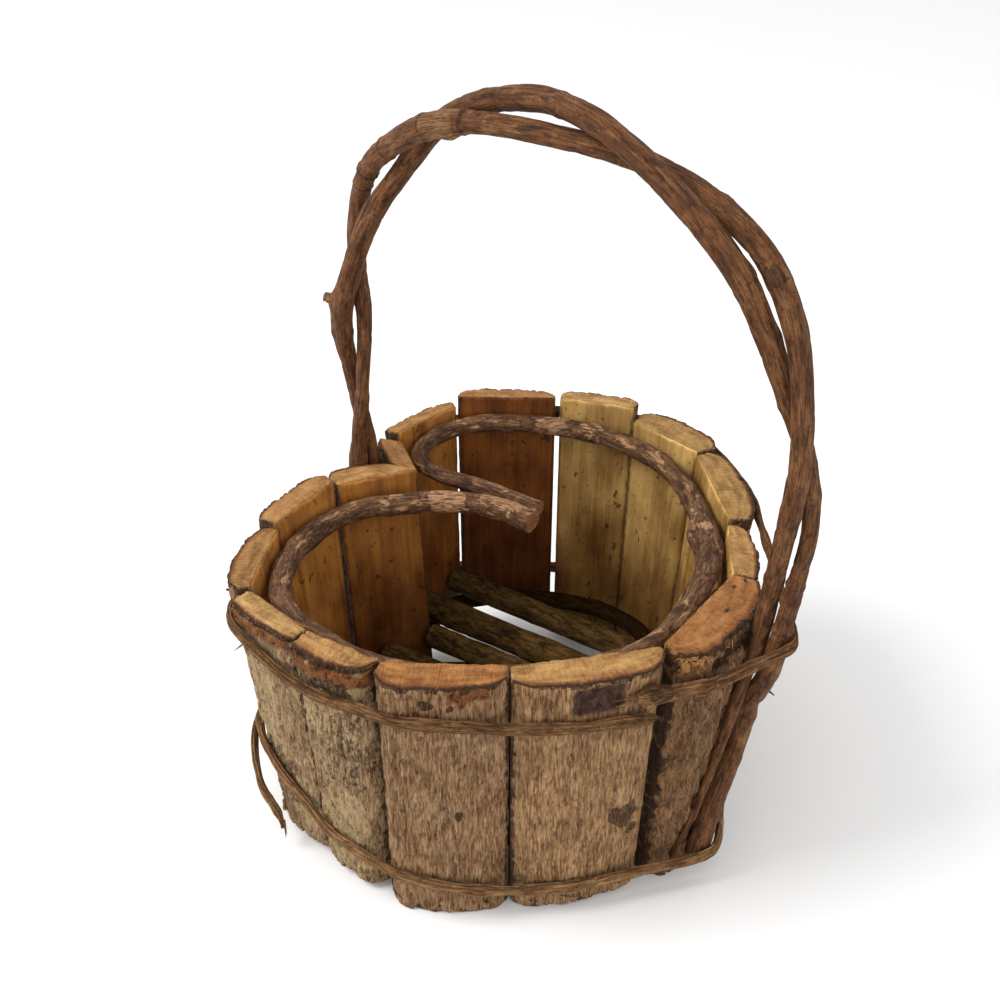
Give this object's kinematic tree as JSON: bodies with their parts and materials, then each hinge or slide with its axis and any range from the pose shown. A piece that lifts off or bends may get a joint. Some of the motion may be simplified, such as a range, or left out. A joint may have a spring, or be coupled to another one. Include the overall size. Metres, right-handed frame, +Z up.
{
  "type": "mushroom foraging basket",
  "caption": "Rustic heart-shaped foraging basket of bark slabs on bent twigs, with a twig floor, split-vine hoops and a tall fixed handle of twisted vines.",
  "frame": {"origin": "centre of the footprint of the whole basket, on the surface that it stands on", "axes": "+Z up, +X from the cleft of the heart to its tip, where the handle stands, +Y to the rear lobe"},
  "size_m": [0.1986, 0.2026, 0.2759],
  "materials": {
    "split_wood": "split half-log slabs, raw sawn ends, smooth weathered inner face and rough bark outside",
    "twig_bark": "thin grey-brown bark of a bent twig, dry and matt",
    "floor_wood": "olive-brown round twigs, bark on, matt",
    "vine_bark": "reddish-brown vine bark with nodes and fine fissures, slight satin",
    "split_vine": "fibrous split vine, olive-brown, matt"
  },
  "bodies": {
    "root": {"slab_01": "split_wood", "slab_02": "split_wood", "slab_03": "split_wood", "slab_04": "split_wood", "slab_05": "split_wood", "slab_06": "split_wood", "slab_07": "split_wood", "slab_08": "split_wood", "slab_09": "split_wood", "slab_10": "split_wood", "slab_11": "split_wood", "slab_12": "split_wood", "slab_13": "split_wood", "slab_14": "split_wood", "slab_15": "split_wood", "rim_twig": "twig_bark", "foot_twig": "twig_bark", "floor_twig_1": "floor_wood", "floor_twig_2": "floor_wood", "floor_twig_3": "floor_wood", "floor_twig_4": "floor_wood", "floor_twig_5": "floor_wood", "floor_twig_6": "floor_wood", "floor_twig_7": "floor_wood", "handle_vine_inner": "vine_bark", "handle_vine_outer": "vine_bark", "upper_hoop": "split_vine", "lower_hoop": "split_vine"}
  },
  "joints": []
}
